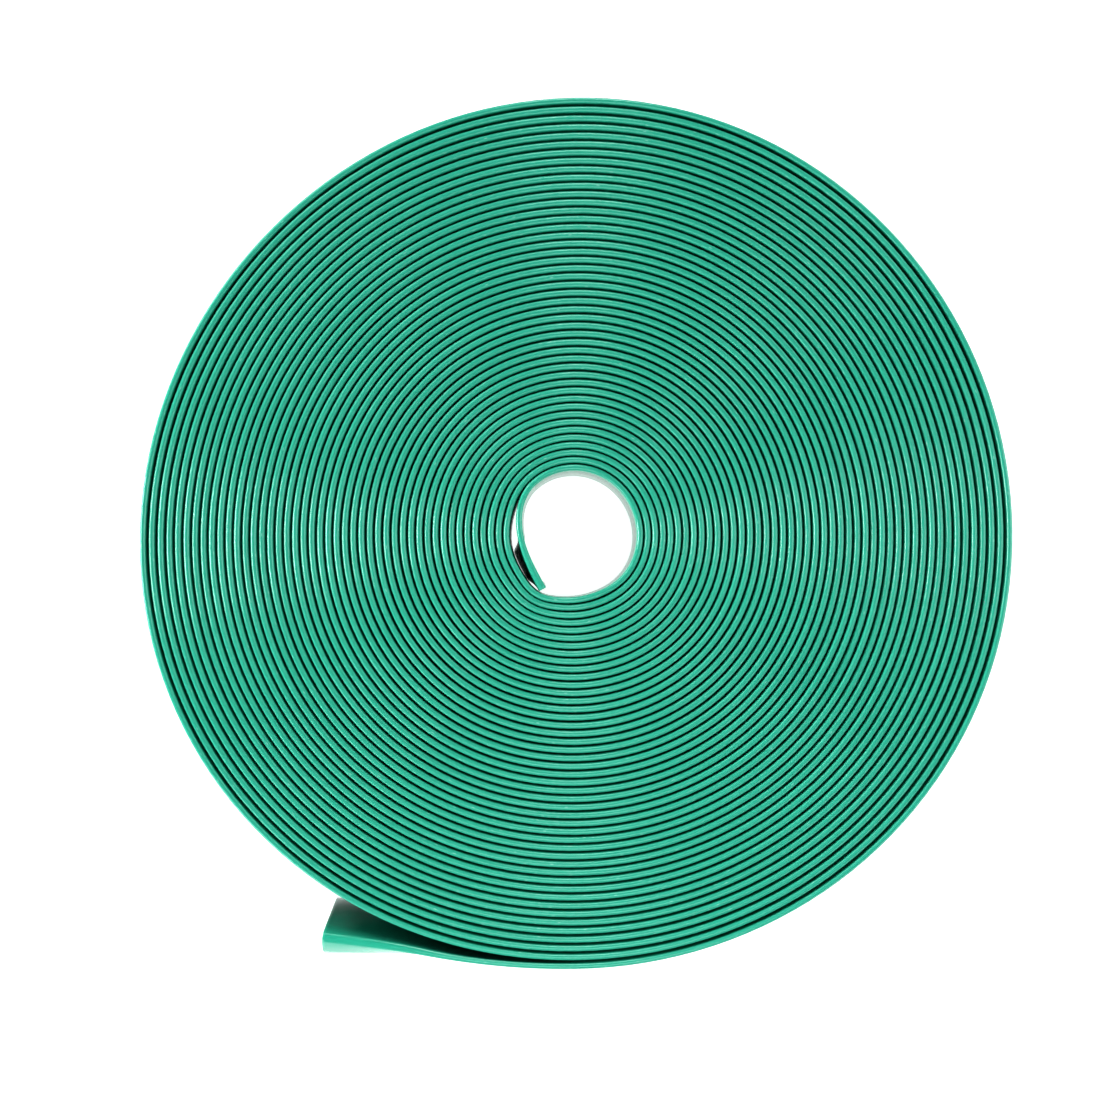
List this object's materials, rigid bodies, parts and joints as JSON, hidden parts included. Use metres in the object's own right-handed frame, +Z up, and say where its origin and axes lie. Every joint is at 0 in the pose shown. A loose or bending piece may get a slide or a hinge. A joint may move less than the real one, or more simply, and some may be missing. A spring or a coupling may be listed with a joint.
{
  "type": "soaker hose",
  "caption": "Long flat PVC watering hose wound on edge into a spiral coil, its outer end standing off with an open mouth and its inner end free in the hole.",
  "frame": {"origin": "middle of the coil's outline, on the surface that the coil lies on", "axes": "+Z up along the coil's axis, -Y where the outer end leaves the coil, which runs from there towards -X"},
  "size_m": [0.2448, 0.2462, 0.0413],
  "materials": {
    "hose": "satin extruded PVC"
  },
  "bodies": {
    "root": {"hose_coil": "hose", "hose_outer_end": "hose", "hose_inner_end": "hose"}
  },
  "joints": []
}
